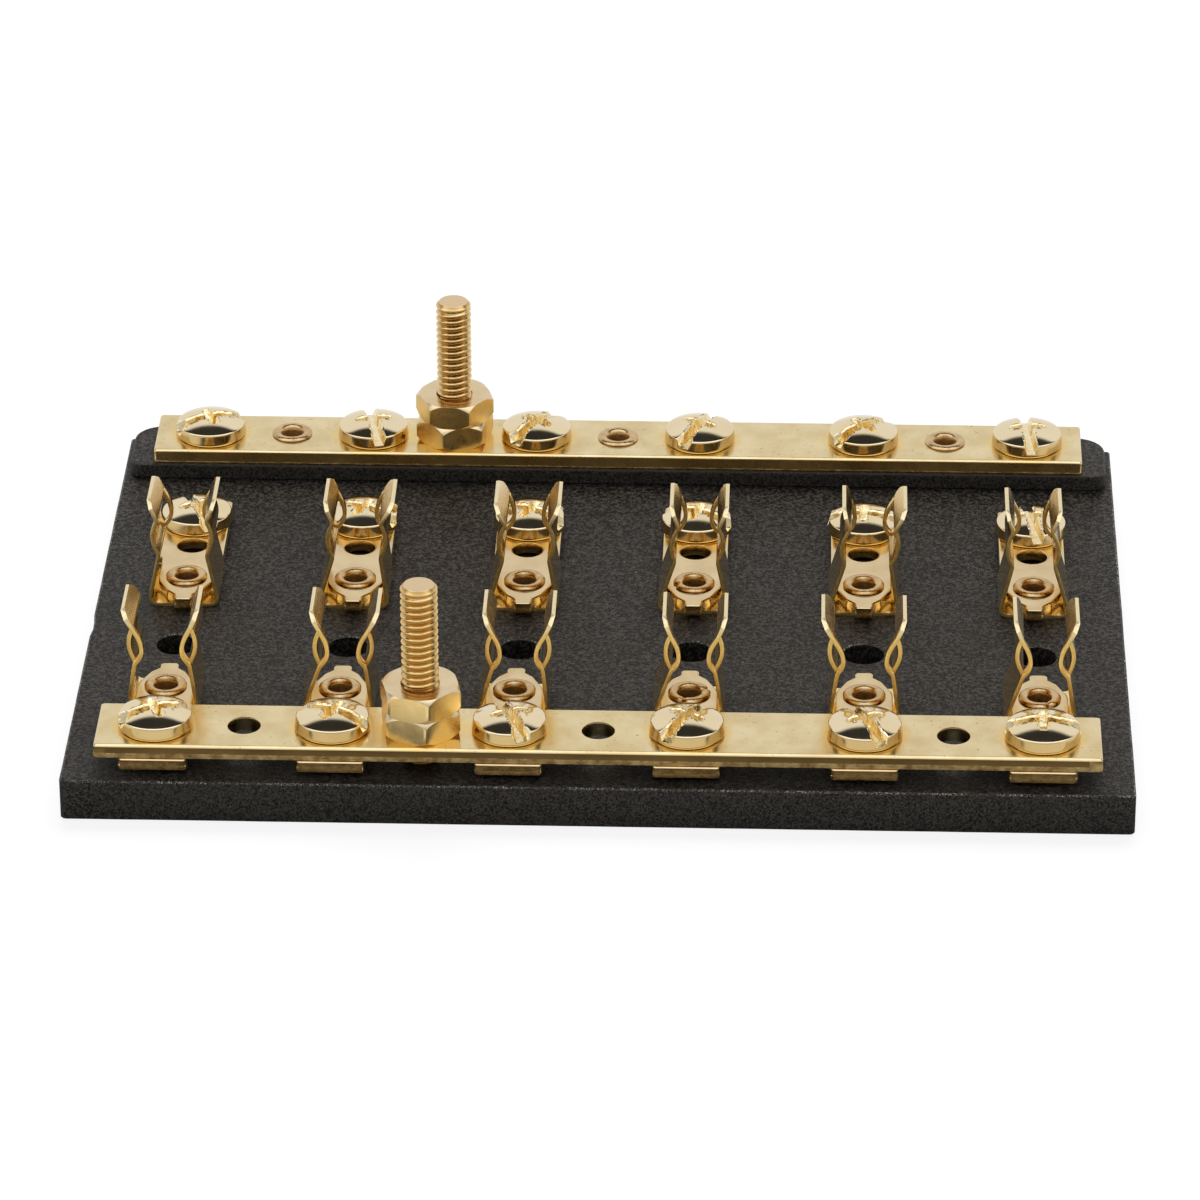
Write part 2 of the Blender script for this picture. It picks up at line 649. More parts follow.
def strip_outline(length):
    """Nub, shoulders, round tongue about the eyelet at the origin, and wide tail."""
    r, nub = TONGUE_W / 2, NUB_W / 2
    start = arc_points(0, 0, r, 330, 360, 5)
    side = [(nub, -NUB_REACH), (nub, -NUB_ROOT), (SHOULDER_W / 2, -SHOULDER_REACH), *start,
            (r, STEP_Y), (STRIP_W / 2, STEP_Y), (STRIP_W / 2, length)]
    half = [Vector(p) for p in side]
    corners = half + [Vector((-p.x, p.y)) for p in reversed(half)]
    radii = [0.4, 0.5, 1.2] + [0] * len(start) + [0.25, 0.3, 0.5]
    return fillet(corners, radii + radii[::-1])


def build_strip(row, way, seed):
    x = WAY_X[way - 1]
    y, side, reach = ROWS[row]
    outline = [Vector((x + side * p.x, y + side * p.y)) for p in strip_outline(reach + STRIP_TAIL)]
    holes = [(x, y, BARREL_HOLE_R), (x, y + side * reach, SCREW_HOLE_R)]
    if row == "rear":
        holes.append((x, y + SPARE_REACH, SPARE_R))
    shell = Shell()
    sheared_plate(shell, spaced(outline, STRIP_STEP), STRIP_LOW.z, STRIP_TOP, holes, STRIP_BROKEN,
                  STRIP_ROLL_R, seed)
    name = f"{row}_strip_{way}"
    for number, corners in enumerate(shell.faces):
        reach_y = side * (sum(shell.points[i].y for i in corners) / len(corners) - y)
        if shell.finishes[number] and not END_REACH - NUB_REACH < reach_y < reach + STRIP_TAIL - END_REACH:
            shell.finishes[number] = 3
    mesh = mesh_of(name + "_dressed", shell, (STRIP, STRIP_EDGE, STRIP_EDGE, STRIP_END))
    add_piece(name + "_dressed", mesh, BODY, "bar_brass", name)


# Fuse clips

CLIP_L = 7.94
FOOT_W = 8.0
FOOT_BEND_R = 0.7
PINCH = (4.5, 6.5)
BOWL_W = 5.7
BOWL_H = 8.6
NECK = (4.5, 10.7)
TIP_W = 6.0
FRONT_TIP_H = 12.75
REAR_TIP_H = 12.95
STOP_GAP = 2.85
STOP_H = 8.3
STOP_L = 0.8
TIP_CUT_L = 1.2
TIP_CUT_H = 0.75
CLIP_BREAK = 0.12
CLIP_BREAK_ANGLE = 60
CREASE_SHARE = 0.14
CREASE = 0.3


def curved(a, corner, b, count):
    """From a to b along a bend that heads for the corner; a itself is left out."""
    shares = [k / count for k in range(1, count + 1)]
    return [a.lerp(corner, k).lerp(corner.lerp(b, k), k) for k in shares]


def station(width, height):
    return Vector((width / 2 + SHEET / 2, height))


def leaf_line(arch_w, arch_h, tip_h):
    """Mid-line of half a clip, from the middle of its floor to its tip, and the rows it is slit between."""
    bend_r = FOOT_BEND_R + SHEET / 2
    foot = Vector((FOOT_W / 2 - SHEET / 2, SHEET / 2 + bend_r))
    pinch, neck, tip = station(*PINCH), station(*NECK), station(TIP_W, tip_h)
    middle = station(arch_w, arch_h)
    peak = (4 * middle - (1 - CREASE_SHARE) * (pinch + neck)) / (2 + 2 * CREASE_SHARE)
    arch_start, arch_end = pinch.lerp(peak, CREASE_SHARE), neck.lerp(peak, CREASE_SHARE)
    leg_end = pinch + (foot - pinch).normalized() * CREASE
    flare_start = neck + (tip - neck).normalized() * CREASE
    line = [Vector((foot.x * share, SHEET / 2)) for share in (0, 0.4, 0.7)]
    line += arc_points(foot.x - bend_r, SHEET / 2 + bend_r, bend_r, -90, 0, 6)
    line += [foot.lerp(leg_end, k / 6) for k in range(1, 7)]
    slit_start = len(line) - 1
    line += curved(leg_end, pinch, arch_start, 5) + curved(arch_start, peak, arch_end, 14)
    line += curved(arch_end, neck, flare_start, 5)
    slit_end = len(line) - 1
    cut_start = flare_start.lerp(tip, (tip.y - TIP_CUT_H - flare_start.y) / (tip.y - flare_start.y))
    line += [flare_start.lerp(cut_start, 0.5), cut_start, cut_start.lerp(tip, 0.5), tip]
    return line, slit_start, slit_end


def offset_line(line, distance):
    """A line moved to its right-hand side."""
    out = []
    for i, p in enumerate(line):
        run = (line[min(i + 1, len(line) - 1)] - line[max(i - 1, 0)]).normalized()
        out.append(p + Vector((run.y, -run.x)) * distance)
    return out


def leaned(line, lean, tip_h):
    """Moves the leaf sideways by the distances at its pinch, neck and tip."""
    stations = ((FOOT_BEND_R + SHEET, 0.0), (PINCH[1], lean[0]), (NECK[1], lean[1]), (tip_h, lean[2]))
    out = []
    for p in line:
        move = 0.0
        for (low, start), (high, end) in zip(stations, stations[1:]):
            if p.y > low:
                move = start + (end - start) * min(1.0, (p.y - low) / (high - low))
        out.append(Vector((p.x + move, p.y)))
    return out


def leaf_reach(z, tip_h):
    """How far the leaf reaches along the fuse at a height, with its top corners cut off."""
    cut = max(0.0, z - (tip_h - TIP_CUT_H)) / TIP_CUT_H * TIP_CUT_L
    return CLIP_L / 2 - cut


def add_leaf(shell, side, lean, twist, tip_h, place):
    """Half of a clip: the wide leaf with the narrow end-stop strip slit off its outer edge."""
    half_l = CLIP_L / 2
    slit_y = half_l - STOP_L
    wide, slit_start, slit_end = leaf_line(BOWL_W, BOWL_H, tip_h)
    stop = leaf_line(STOP_GAP, STOP_H, tip_h)[0]

    def sheet_rows(line, near, far):
        """Inner and outer points of each row between two places along the fuse."""
        faces = []
        for distance in (-SHEET / 2, SHEET / 2):
            columns = []
            for y in (near, far):
                share = (min(y, half_l - TIP_CUT_L) + half_l) / CLIP_L
                moves = [move - more * share for move, more in zip(lean, twist)]
                common, own = [offset_line(leaned(part, moves, tip_h), distance) for part in (wide, line)]
                column = []
                for k in range(len(line)):
                    p = own[k] if slit_start < k < slit_end else common[k]
                    end = leaf_reach(p.y, tip_h)
                    column.append(place(side * p.x, min(max(y, -end), end), p.y))
                columns.append(column)
            faces.append(list(zip(*columns)))
        return faces

    last = len(wide) - 1
    for line, near, far in ((wide, -half_l, slit_y), (stop, slit_y, half_l)):
        inner, outer = sheet_rows(line, near, far)
        inner_ids = [shell.ring(row) for row in inner]
        outer_ids = [shell.ring(row) for row in outer]
        for k in range(last):
            for ids in (inner_ids, outer_ids):
                shell.face([ids[k][0], ids[k][1], ids[k + 1][1], ids[k + 1][0]])
            for column, at_slit in ((0, near == slit_y), (1, far == slit_y)):
                if not at_slit or slit_start <= k < slit_end:
                    shell.face([inner_ids[k][column], inner_ids[k + 1][column],
                                outer_ids[k + 1][column], outer_ids[k][column]], 1)
        shell.face([inner_ids[last][0], inner_ids[last][1], outer_ids[last][1], outer_ids[last][0]], 1)


# Bend to the right of the left and the right leaf of each clip, at its pinch, neck and tip
FRONT_LEAN = (((-0.42, -0.48, -0.85), (0.59, 0.67, 0.77)), ((0.59, 0.73, 0.5), (0.64, 0.85, 1.25)),
              ((0.22, 0.35, 0.16), (0.79, 1.03, 1.19)), ((0.53, 0.58, 0.53), (0.39, 0.66, 0.73)),
              ((-0.54, -1.0, -1.39), (0.52, 0.85, 0.98)), ((0.45, 0.33, 0.28), (0.41, 0.28, 0.55)))
REAR_LEAN = (((-0.15, -0.27, -0.43), (0.26, 0.32, 0.45)), ((0.28, 0.33, 0.24), (0.65, 0.71, 1.32)),
             ((0.22, 0.55, 0.2), (0.43, 0.43, 0.85)), ((0.36, 0.81, 0.72), (0.21, 0.32, 0.47)),
             ((0.27, 0.79, 0.87), (0.45, 0.89, 1.24)), ((-0.09, -0.1, -0.07), (-0.32, -0.75, -0.6)))
# Inward twist of the leaves' outer ends, at the same places
FRONT_TWIST = (0.0, 0.0, 0.0)
REAR_TWIST = (0.0, 0.1, 0.0)
CLIP_SHAPES = {"front": (FRONT_LEAN, FRONT_TWIST, FRONT_TIP_H), "rear": (REAR_LEAN, REAR_TWIST, REAR_TIP_H)}
DRILL_STEPS = 48


def build_clip(row, way):
    x0 = WAY_X[way - 1]
    y0, outward, _ = ROWS[row]

    def place(x, y, z):
        return (x0 + x, y0 + outward * y, BASE_TOP + z)

    shell = Shell()
    leans, twist, tip_h = CLIP_SHAPES[row]
    left, right = leans[way - 1]
    add_leaf(shell, -1, [-move for move in left], twist, tip_h, place)
    add_leaf(shell, 1, right, twist, tip_h, place)
    name = f"{row}_clip_{way}"
    r, low, high = BARREL_HOLE_R, BASE_TOP - SHEET, BASE_TOP + 2 * SHEET
    drill = Shell()
    add_turned(drill, x0, y0, ((0, low), (r, low), (r, high), (0, high)), DRILL_STEPS)
    folded = mesh_of(name, shell, (CLIP, CLIP_EDGE), CLIP_BREAK, CLIP_BREAK_ANGLE)
    mesh = cut_away(folded, [mesh_of("drill", drill, (CLIP,))])
    clean_mesh(mesh)
    add_piece(name + "_dressed", mesh, BODY, "clip_brass", name)


# Eyelets

EYELET_R = 1.25
BARREL_R = 1.55
FLANGE_R = 2.35
FLANGE_T = 0.44
RECESS_GAP = 0.3
EYELET_STEPS = 48
BORE_BANDS = range(2)
LIP_WAVE_R = 0.05
LIP_WAVE_Z = 0.03
SPLIT_WIDTH = 0.12
SPLIT_REACH = 0.3
SPLIT_SINK = 0.18
# Where the lip of each eyelet is split, in degrees
FRONT_SPLITS = ((), (), (), (250, 20), (), (300,))
REAR_SPLITS = ((), (), (), (200,), (), ())
BAR_SPLITS = ((), (), ())


def add_eyelet(shell, x, y, top, seed, splits):
    """Barrel with a rolled lip on top, a little uneven, and split where asked."""
    under = RECESS_GAP
    profile = [(EYELET_R, under + 0.1), (EYELET_R - 0.06, top - 0.25), (EYELET_R - 0.05, top),
               (EYELET_R + 0.03, top + 0.17), (EYELET_R + 0.17, top + 0.31), (EYELET_R + 0.36, top + 0.4),
               (EYELET_R + 0.58, top + FLANGE_T - 0.02), (EYELET_R + 0.8, top + 0.38),
               (FLANGE_R - 0.12, top + 0.28), (FLANGE_R - 0.02, top + 0.16), (FLANGE_R - 0.03, top + 0.06),
               (FLANGE_R - 0.12, top + 0.01), (BARREL_R, top), (BARREL_R, under + FLANGE_T),
               (FLANGE_R - 0.1, under + FLANGE_T - 0.02), (FLANGE_R, under + 0.3),
               (FLANGE_R - 0.15, under + 0.08), (EYELET_R + 0.4, under), (EYELET_R + 0.1, under + 0.03)]
    columns = []
    for turn in turns_of(EYELET_STEPS):
        ray = Vector((math.cos(turn), math.sin(turn)))
        crack = max((math.exp(-((turn - math.radians(s) + math.pi) % (2 * math.pi) - math.pi) ** 2
                              / SPLIT_WIDTH ** 2) for s in splits), default=0.0)
        points = []
        for r, z in profile:
            lip = max(0.0, (r - BARREL_R) / (FLANGE_R - BARREL_R)) if z >= top else 0.0
            r += lip * (LIP_WAVE_R * wobble((ray.x, ray.y, 0), 0.8, seed) - SPLIT_REACH * crack)
            z += lip * LIP_WAVE_Z * wobble((ray.x, ray.y, 5), 0.6, seed)
            if z > top:
                z = max(top, z - SPLIT_SINK * crack)
            points.append((x + r * ray.x, y + r * ray.y, z))
        columns.append(shell.ring(points))
    shell.wrap(columns, BORE_BANDS)


def build_eyelets():
    rows = (("front_clip_eyelets", WAY_X, FRONT_EYELET_Y, STRIP_TOP, FRONT_SPLITS),
            ("rear_clip_eyelets", WAY_X, REAR_EYELET_Y, STRIP_TOP, REAR_SPLITS),
            ("bar_eyelets", GAP_X, REAR_BAR_Y, REAR_BAR_HIGH.z, BAR_SPLITS))
    for number, (node, places, y, top, splits) in enumerate(rows):
        shell = Shell()
        for k, x in enumerate(places):
            add_eyelet(shell, x, y, top, 10 * number + k, splits[k])
        mesh = mesh_of(node + "_rolled", shell, (EYELET, EYELET_BORE))
        add_piece(node + "_rolled", mesh, BODY, "eyelet_brass", node)


# Threads, screws, studs and nuts

PITCH = 25.4 / 32
MAJOR_R = 2.02
MINOR_R = 1.6
CREST_SHARE = 0.14
ROOT_SHARE = 0.18
TAPER = 0.9
PLAIN_START = 0.6


def thread_share(phase):
    """Height of the thread between its root and crest, for a phase of the pitch from 0 to 1."""
    slope = (1 - CREST_SHARE - ROOT_SHARE) / 2
    falling = 1 - (phase - CREST_SHARE) / slope
    rising = (phase - CREST_SHARE - slope - ROOT_SHARE) / slope
    return min(1.0, max(0.0, falling, rising))


def add_thread(shell, x, y, low, high, low_cut, high_cut, columns, rows_per_turn, plain=0.0):
    """Threaded rod, its ends tapered over the two cut lengths and its top plain for a while."""
    count = math.ceil((high - low) / PITCH * rows_per_turn)
    rings = []
    for k in range(count + 1):
        z = low + (high - low) * k / count
        taper = min(z - low - low_cut, high - z - high_cut, 0.0)
        fade = min(1.0, max(0.0, (high - z) / plain - PLAIN_START)) if plain else 1.0
        points = []
        for i, turn in enumerate(turns_of(columns)):
            share = thread_share((z / PITCH - i / columns) % 1.0)
            r = MAJOR_R - (MAJOR_R - MINOR_R) * (1 - share) * fade
            r = min(r, MAJOR_R + taper * TAPER)
            points.append((x + r * math.cos(turn), y + r * math.sin(turn), z))
        rings.append(shell.ring(points))
    shell.skin(rings)
    shell.cap([rings[0]])
    shell.cap([rings[-1]])


def add_turned(shell, x, y, profile, count=64):
    """Solid of revolution from (radius, z) points; a radius of 0 closes an end."""
    rings = []
    for r, z in profile:
        rings.append(shell.ring(level(circle_points(x, y, r, count), z) if r else [(x, y, z)]))
    for low, high in zip(rings, rings[1:]):
        if len(low) == len(high):
            shell.band(low, high)
            continue
        tip, ring = (low[0], high) if len(low) == 1 else (high[0], low)
        for i in range(count):
            shell.face([tip, ring[i], ring[(i + 1) % count]])


HEAD_R = 4.1
HEAD_H = 2.35
HEAD_STEPS = 96
HEAD_FOOT = 0.3
HEAD_EDGE = 0.28
HEAD_DRAFT = 0.15
HEAD_DRAFT_TURN = 8.5
HEAD_BREAK = 0.05
HEAD_BREAK_ANGLE = 40
RIM_DEPTH = 0.3
RIM_LEAN = 0.3
DOME_R = 9.0
DOME_STEPS = 12
CUT_PAST = 0.2
CUT_LIFT = 0.25
TORN = 0.7
SLOT_FLOOR_W = 0.9
SLOT_W = 1.1
SLOT_FLOOR_Z = 0.55
SLOT_EDGE = 0.24
SLOT_FLARES = (2.0, 0.9, 2.0, 1.5, 1.2, 0.8)
SLOT_FLARE_L = 1.2
SLOT_STEPS = 24
CROSS_FLOOR_W = 0.72
CROSS_W = 0.95
CROSS_FLOOR_Z = 0.75
CROSS_EDGE = 0.18
CROSS_FLOOR_L = 1.8
CROSS_L = 4.3
CROSS_STEPS = 14
BURR_W = 0.14
BURR_H = 0.16
BURR_ROOT = 0.03
BURR_STEPS = 22
# How far from the axis the burrs along the slot and the cross cut start, and where the slot's end
SLOT_BURR = (0.62, 3.0)
CROSS_BURR = 0.7
SHANK_CUT = 0.4
SHANK_LAP = 0.02
# Columns round a thread and rows along one turn of it
SHANK_MESH = (28, 8)
STUD_MESH = (72, 14)


def dome_z(reach):
    """Height of the head's top at a distance from its axis."""
    return HEAD_H - DOME_R + math.sqrt(DOME_R ** 2 - reach ** 2)


def head_profile():
    top_r = HEAD_R - HEAD_DRAFT
    edge_x = top_r - HEAD_EDGE
    edge_z = HEAD_H - DOME_R + math.sqrt((DOME_R - HEAD_EDGE) ** 2 - edge_x ** 2)
    join = math.degrees(math.asin(edge_x / (DOME_R - HEAD_EDGE)))
    points = [(0, 0), (HEAD_R - HEAD_FOOT, 0), (HEAD_R - 0.1, 0.06), (HEAD_R - 0.02, 0.18),
              (HEAD_R, HEAD_FOOT), (HEAD_R - 0.01, HEAD_FOOT + FLAT_RIM), (top_r + 0.01, edge_z - FLAT_RIM)]
    points += [tuple(p) for p in arc_points(edge_x, edge_z, HEAD_EDGE, HEAD_DRAFT_TURN, 90 - join, 7)]
    for k in range(1, DOME_STEPS + 1):
        reach = DOME_R * math.sin(math.radians(join * (1 - k / DOME_STEPS)))
        points.append((reach if k < DOME_STEPS else 0, dome_z(reach)))
    return points


def lofted(shell, sections):
    """Adds a closed solid through sections with the same number of corners."""
    rings = [shell.ring(section) for section in sections]
    shell.skin(rings)
    shell.face(rings[0])
    shell.face(rings[-1])
    return shell


def groove_section(floor_w, wall_w, edge, floor_z, top_z):
    """Half widths to both sides of a groove: steep walls and a wide edge at the surface."""
    half = ((floor_w, floor_z), (wall_w, max(floor_z + 0.02, top_z - edge)),
            (wall_w + edge + CUT_LIFT, top_z + CUT_LIFT))
    return [*half, *[(-w, z) for w, z in reversed(half)]]


def slot_cutter(flare, seed):
    """The full slot, whose torn edges flare out at both ends."""
    sections = []
    for k in range(SLOT_STEPS + 1):
        x = (2 * k / SLOT_STEPS - 1) * (HEAD_R + CUT_PAST)
        more = flare * max(0.0, (abs(x) - HEAD_R + SLOT_FLARE_L) / (SLOT_FLARE_L + CUT_PAST))
        edge = SLOT_EDGE * (1 + TORN * wobble((x, 0, 0), 0.5, seed))
        points = groove_section(SLOT_FLOOR_W / 2 + 0.1 * more, SLOT_W / 2 + 0.38 * more, edge, SLOT_FLOOR_Z,
                                dome_z(min(abs(x), HEAD_R)))
        sections.append([(x, y, z) for y, z in points])
    return lofted(Shell(), sections)


def cross_cutter(seed):
    """The shorter cross cut, whose floor rises to its ends."""
    sections = []
    for k in range(CROSS_STEPS + 1):
        y = (k / CROSS_STEPS - 0.5) * CROSS_L
        top = dome_z(abs(y))
        rise = max(0.0, (abs(y) - CROSS_FLOOR_L / 2) / (CROSS_L / 2 - CROSS_FLOOR_L / 2))
        floor = CROSS_FLOOR_Z + (top - 0.03 - CROSS_FLOOR_Z) * rise
        edge = CROSS_EDGE * (1 + TORN * wobble((0, y, 3), 0.4, seed)) * (1 - 0.6 * rise)
        points = groove_section(CROSS_FLOOR_W / 2 * (1 - 0.5 * rise), CROSS_W / 2 * (1 - 0.4 * rise), edge,
                                floor, top)
        sections.append([(-x, y, z) for x, z in points])
    return lofted(Shell(), sections)


def add_burrs(shell, seed):
    """Thin torn lips along the edges of the slot and the cross cut."""
    near, far = SLOT_BURR
    slot_y = SLOT_W / 2 + SLOT_EDGE - BURR_ROOT
    cross_y, cross_x = CROSS_W / 2 + CROSS_EDGE - BURR_ROOT, CROSS_L / 2 - 0.3
    signs = [(a, b) for a in (-1, 1) for b in (-1, 1)]
    runs = [((a * near, b * slot_y), (a * far, b * slot_y), (0, b)) for a, b in signs]
    runs += [((b * cross_y, a * CROSS_BURR), (b * cross_y, a * cross_x), (b, 0)) for a, b in signs]
    for number, run in enumerate(runs):
        start, end, away = [Vector(v) for v in run]
        sections = []
        for k in range(BURR_STEPS + 1):
            p = start.lerp(end, k / BURR_STEPS)
            torn = max(0.0, 0.35 + 0.9 * wobble((p.x, p.y, number), 0.33, seed))
            torn *= math.sin(math.pi * k / BURR_STEPS) ** 0.4
            wide, tall = BURR_W * (0.6 + 0.6 * torn), BURR_H * torn
            section = ((-0.02, -0.12), (-0.02, tall), (wide * 0.6, tall * 0.7), (wide + 0.02, -0.05))
            places = [(p + away * across, up) for across, up in section]
            sections.append([(q.x, q.y, dome_z(q.length) + up) for q, up in places])
        lofted(shell, sections)


def cut_head(flare, seed):
    """Mesh of a screw head at the origin with its slot and cross cut away."""
    shell = Shell()
    add_turned(shell, 0, 0, head_profile(), HEAD_STEPS)
    cutters = [mesh_of("cutter", cutter, (SCREW_SLOT,))
               for cutter in (slot_cutter(flare, seed), cross_cutter(seed))]
    mesh = cut_away(mesh_of("head", shell, (SCREW,)), cutters)
    clean_mesh(mesh, HEAD_BREAK, HEAD_BREAK_ANGLE)
    for face in mesh.polygons:
        upright = abs(face.normal.z) < RIM_LEAN and face.center.xy.length > (HEAD_R - RIM_DEPTH) * MM
        if upright and not face.material_index:
            face.material_index = 2
    return mesh


def joined(mesh, others):
    """Adds other meshes, each with its own placing, to a mesh."""
    work = bmesh.new()
    work.from_mesh(mesh)
    for other, placing in others:
        added = other.copy()
        added.transform(placing)
        work.from_mesh(added)
        bpy.data.meshes.remove(added)
    work.to_mesh(mesh)
    work.free()
    shade(mesh, SMOOTH)


def build_screws():
    rows = (("front_bar_screw", FRONT_BAR_Y, FRONT_BAR_TOP, FRONT_BAR_TURN),
            ("rear_bar_screw", REAR_BAR_Y, REAR_BAR_HIGH.z, REAR_BAR_TURN),
            ("terminal_screw", TERMINAL_Y, STRIP_TOP, TERMINAL_TURN))
    heads = [cut_head(flare, 40 + k) for k, flare in enumerate(SLOT_FLARES)]
    for number, (row, y, seat, turns) in enumerate(rows):
        tip = mm_box(f"{row}_1")[0].z
        for way in WAYS:
            x = WAY_X[way - 1]
            name = f"{row}_{way}"
            shank = Shell()
            add_thread(shank, x, y, tip, seat + SHANK_LAP, SHANK_CUT, 0.0, *SHANK_MESH)
            mesh = mesh_of(name + "_cut", shank, (SCREW, SCREW_SLOT, SCREW_RIM))
            burrs = Shell()
            add_burrs(burrs, 6 * number + way)
            lips = mesh_of("burrs", burrs, (SCREW, SCREW_SLOT))
            turn = Matrix.Rotation(math.radians(turns[way - 1]), 4, "Z")
            placing = Matrix.Translation(Vector((x, y, seat)) * MM) @ turn
            joined(mesh, ((heads[way - 1], placing), (lips, placing)))
            bpy.data.meshes.remove(lips)
            add_piece(name + "_cut", mesh, name, "screw_brass", name)


STUD_HEAD_R = 3.6
STUD_CUT = 0.42
STUD_PLAIN = 0.6
STUD_LAP = 0.05
STUD_SMOOTH = 75.0
STUD_FACE = 0.01


def build_stud(name, y, finish):
    low, high = mm_box(name)
    shell = Shell()
    add_turned(shell, STUD_X, y, ((0, low.z), (STUD_HEAD_R - 0.4, low.z), (STUD_HEAD_R - 0.1, low.z + 0.15),
                                  (STUD_HEAD_R, low.z + 0.5), (STUD_HEAD_R, HEAD_POCKET), (0, HEAD_POCKET)))
    add_thread(shell, STUD_X, y, HEAD_POCKET - STUD_LAP, high.z, 0.0, STUD_CUT, *STUD_MESH, STUD_PLAIN)
    mesh = mesh_of(name + "_threaded", shell, (finish,), smooth=STUD_SMOOTH)
    for edge in mesh.edges:
        if min(mesh.vertices[i].co.z for i in edge.vertices) > (high.z - STUD_FACE) * MM:
            edge.use_edge_sharp = True
    add_piece(name + "_threaded", mesh, BODY, "stud_brass", name)


NUT_AF = 7.94
NUT_TOP_R = 4.06
NUT_CHAMFER = 0.6
NUT_BORE_R = 2.06
NUT_LEAD = 0.07
NUT_STEPS = 96
NUT_SIDE = 2
NUT_BREAK = 0.07
NUT_BREAK_ANGLE = 25
NUT_LEAST_CUT = 0.01
# Degrees from the middle of a nut's side to its corner
HALF_SIDE = 30


def build_nut(name, y, turn, body, face):
    """Hexagon nut whose corners are cut back by a cone above and below."""
    low, high = mm_box(name)
    corner_r = NUT_AF / math.sqrt(3)
    slope = NUT_CHAMFER / (corner_r - NUT_TOP_R)
    shell = Shell()
    columns = []
    for angle in turns_of(NUT_STEPS):
        off_flat = (angle + math.pi / 6) % (math.pi / 3) - math.pi / 6
        hexagon = NUT_AF / 2 / math.cos(off_flat)
        face_r = min(NUT_TOP_R, hexagon - NUT_LEAST_CUT)
        drop = slope * (hexagon - face_r)
        profile = ((NUT_BORE_R + NUT_LEAD, low.z), (face_r, low.z), (hexagon, low.z + drop),
                   (hexagon, high.z - drop), (face_r, high.z), (NUT_BORE_R + NUT_LEAD, high.z),
                   (NUT_BORE_R, high.z - NUT_LEAD), (NUT_BORE_R, low.z + NUT_LEAD))
        spin = angle + math.radians(turn + HALF_SIDE)
        points = [(STUD_X + r * math.cos(spin), y + r * math.sin(spin), z) for r, z in profile]
        columns.append(shell.ring(points))
    shell.wrap(columns, (NUT_SIDE,))
    mesh = mesh_of(name + "_machined", shell, (NUT, face), NUT_BREAK, NUT_BREAK_ANGLE)
    add_piece(name + "_machined", mesh, body, "nut_brass", name)


# Stage, light and camera

# Light levels: the brightest, far to the sides, and for rays that are not mirrored
LIGHT_TOP = 1.4
SIDE_LIGHT = 0.7
EVEN_LIGHT = 0.6
# Light levels in reflections from the back over the top to the front, as shares of half a turn
SKY = ((0.0, 0.82), (0.295, 0.86), (0.325, 0.03), (0.455, 0.03),
       (0.47, 1.4), (0.62, 1.4), (0.74, 0.6), (1.0, 0.42))
SIDES = (0.7, 0.9)
FLOOR_REACH = 2.0
FLOOR_GAP = 0.03
FLOOR_TONE = 0.8
FLOOR_GLOW = 0.85
FLOOR_MIRRORED = 0.8
FLOOR_DARK = (0.011, 0.015)


def grey(level_of_light):
    return (level_of_light / LIGHT_TOP,) * 3


def build_world():
    """Even light, a ramp of light and dark in reflections, and white to the camera."""
    world = bpy.data.worlds.new("studio")
    bpy.context.scene.world = world
    f = Nodes(world)
    parts = f.axes("Generated")
    height = f.math("DIVIDE", f.math("ARCTAN2", parts["Z"], parts["Y"]), math.pi)
    ramp = f.node("ShaderNodeValToRGB", {0: height})
    while len(ramp.color_ramp.elements) < len(SKY):
        ramp.color_ramp.elements.new(0.5)
    for element, (position, value) in zip(ramp.color_ramp.elements, SKY):
        element.position = position
        element.color = opaque(grey(value))
    # The dark stretch of the ramp is not seen far to the sides
    around = f.mix(f.between(f.math("ABSOLUTE", parts["X"]), *SIDES), ramp.outputs[0], grey(SIDE_LIGHT))
    path = f.node("ShaderNodeLightPath").outputs
    gloss = f.math("ADD", path["Is Glossy Ray"], path["Is Transmission Ray"], True)
    shown = f.mix(gloss, grey(EVEN_LIGHT), around)
    colour = f.mix(path["Is Camera Ray"], shown, grey(1))
    light = f.node("ShaderNodeBackground", {"Color": colour, "Strength": LIGHT_TOP})
    f.node("ShaderNodeOutputWorld", {"Surface": light.outputs[0]})


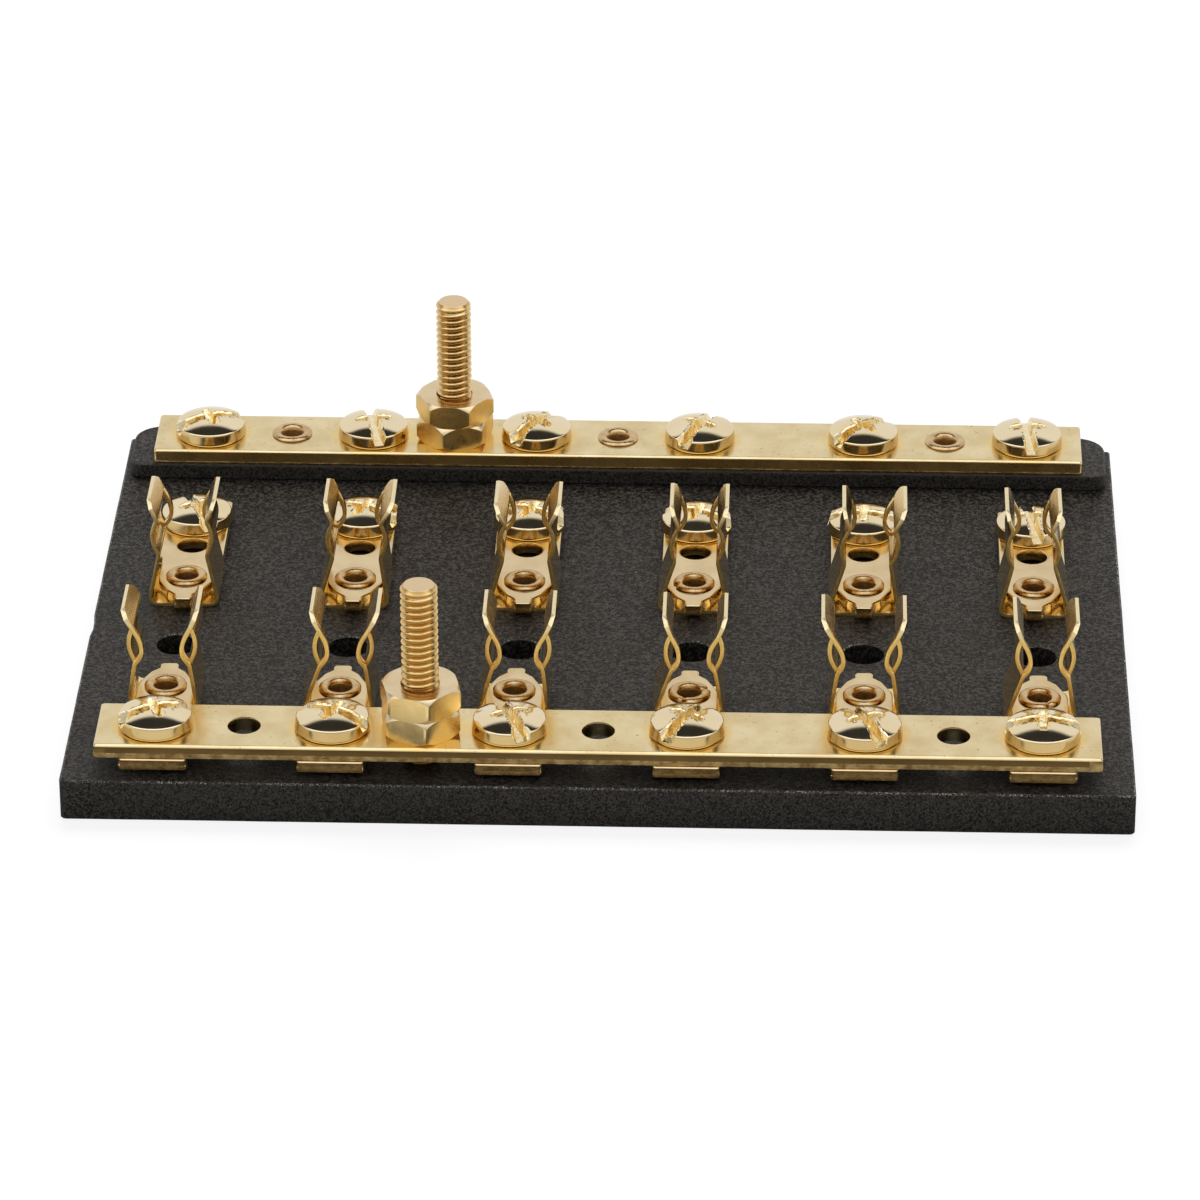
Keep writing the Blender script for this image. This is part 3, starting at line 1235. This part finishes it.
def build_floor():
    """Floor that keeps the object's shadow. In reflections it is darker close to the object."""
    mesh = bpy.data.meshes.new("floor")
    corners = ((-1, -1), (1, -1), (1, 1), (-1, 1))
    points = [(FLOOR_REACH * a, FLOOR_REACH * b, -FLOOR_GAP * MM) for a, b in corners]
    mesh.from_pydata(points, [], [(0, 1, 2, 3)])
    material = bpy.data.materials.new("floor")
    f = Nodes(material)
    path = f.node("ShaderNodeLightPath").outputs
    seen = f.math("ADD", path["Is Glossy Ray"], path["Is Camera Ray"])
    share = f.math("MULTIPLY", f.math("ADD", seen, path["Is Transmission Ray"], True), FLOOR_GLOW)
    parts = f.axes("Object")
    beyond = [f.math("SUBTRACT", f.math("ABSOLUTE", parts[axis]), half * MM)
              for axis, half in (("X", BASE_HIGH.x), ("Y", BASE_HIGH.y))]
    mirrored = f.between(f.math("MAXIMUM", *beyond), *FLOOR_DARK, 0.0, FLOOR_MIRRORED)
    strength = f.node("ShaderNodeMix", {0: path["Is Glossy Ray"], 2: 1.0, 3: mirrored}).outputs[0]
    diffuse = f.node("ShaderNodeBsdfDiffuse", {"Color": opaque((FLOOR_TONE,) * 3)}).outputs[0]
    glow = f.node("ShaderNodeEmission", {"Strength": strength}).outputs[0]
    mixed = f.node("ShaderNodeMixShader", {0: share, 1: diffuse, 2: glow})
    f.node("ShaderNodeOutputMaterial", {"Surface": mixed.outputs[0]})
    mesh.materials.append(material)
    floor = put("floor", mesh)


def add_lamp(name, place, size, energy):
    """Soft box that looks at the object and stays out of its reflections."""
    lamp = bpy.data.lights.new(name, "AREA")
    lamp.shape = "RECTANGLE"
    lamp.size, lamp.size_y = size
    lamp.energy = energy
    holder = put(name, lamp)
    holder.location = place
    holder.rotation_euler = (-Vector(place)).to_track_quat("-Z", "Y").to_euler()
    holder.visible_glossy = False


def build_camera():
    camera = bpy.data.cameras.new("camera")
    camera.sensor_width = SENSOR_WIDTH
    camera.sensor_fit = "HORIZONTAL"
    camera.lens = SENSOR_WIDTH * FOCAL_PIXELS / IMAGE_PIXELS
    camera.clip_start = 0.01
    camera.clip_end = 20
    holder = put("camera", camera)
    holder.location = [c * MM for c in CAMERA_PLACE]
    holder.rotation_euler = [math.radians(a) for a in CAMERA_TURN]
    bpy.context.scene.camera = holder


build_base()
build_bar("front_bus_bar", OPEN_HOLE_R, FRONT_BROKEN, ROUGH_END, FRONT_SHEAR, 2)
build_bar("rear_bus_bar", BARREL_HOLE_R, REAR_BROKEN, 0.0, REAR_SHEAR, 3)
for number in WAYS:
    build_strip("front", number, 20 + number)
    build_strip("rear", number, 30 + number)
    build_clip("front", number)
    build_clip("rear", number)
build_eyelets()
build_screws()
build_stud("front_stud", FRONT_BAR_Y, FRONT_STUD)
build_stud("rear_stud", REAR_BAR_Y, REAR_STUD)
for row, y, face, turns in (("front", FRONT_BAR_Y, NUT_FACE, FRONT_NUT_TURN),
                            ("rear", REAR_BAR_Y, REAR_NUT_FACE, REAR_NUT_TURN)):
    build_nut(f"{row}_lower_nut", y, turns[0], BODY, face)
    build_nut(f"{row}_upper_nut", y, turns[1], f"{row}_upper_nut", face)
build_world()
build_floor()
add_lamp("key", (0.05, 0.45, 0.75), (0.7, 0.4), 9.0)
add_lamp("fill", (-0.2, -0.6, 0.7), (0.6, 0.5), 0.9)
build_camera()
bpy.context.scene.view_settings.view_transform = "Standard"
